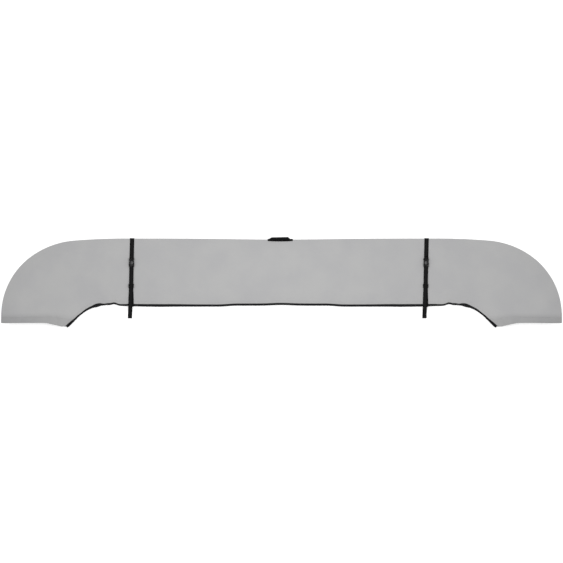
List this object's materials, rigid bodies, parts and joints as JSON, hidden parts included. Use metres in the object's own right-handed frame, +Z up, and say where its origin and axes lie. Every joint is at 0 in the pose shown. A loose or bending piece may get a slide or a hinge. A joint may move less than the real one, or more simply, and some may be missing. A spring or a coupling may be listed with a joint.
{
  "type": "bimini cover",
  "caption": "Storage boot for a folded bimini top, lying empty: grey canvas sleeve with bent open ends, zip along its lower edge, buckled webbing straps and a carry handle.",
  "frame": {"origin": "on the floor, under the middle of the cover's bounding box", "axes": "+X along the sleeve, +Y from the zipped edge towards the rim seam and the handle, +Z up from the floor"},
  "size_m": [2.6004, 0.4184, 0.0309],
  "materials": {
    "canvas": "light grey coated polyester canvas, plain weave, matt",
    "webbing": "black woven polypropylene webbing",
    "zip_tape": "black woven zip tape",
    "zip_coil": "black nylon coil teeth",
    "hardware": "black moulded acetal, satin"
  },
  "bodies": {
    "root": {"front_panel": "canvas", "back_panel": "canvas", "zip_tape_front": "zip_tape", "zip_tape_back": "zip_tape", "zip_chain": "zip_coil", "zip_slider_left": "hardware", "zip_slider_right": "hardware", "strap_left": "webbing", "strap_right": "webbing", "buckle_socket_left": "hardware", "buckle_socket_right": "hardware", "buckle_plug_left": "hardware", "buckle_plug_right": "hardware", "triglide_left": "hardware", "triglide_right": "hardware", "handle_base": "webbing", "handle_grip": "webbing"}
  },
  "joints": []
}
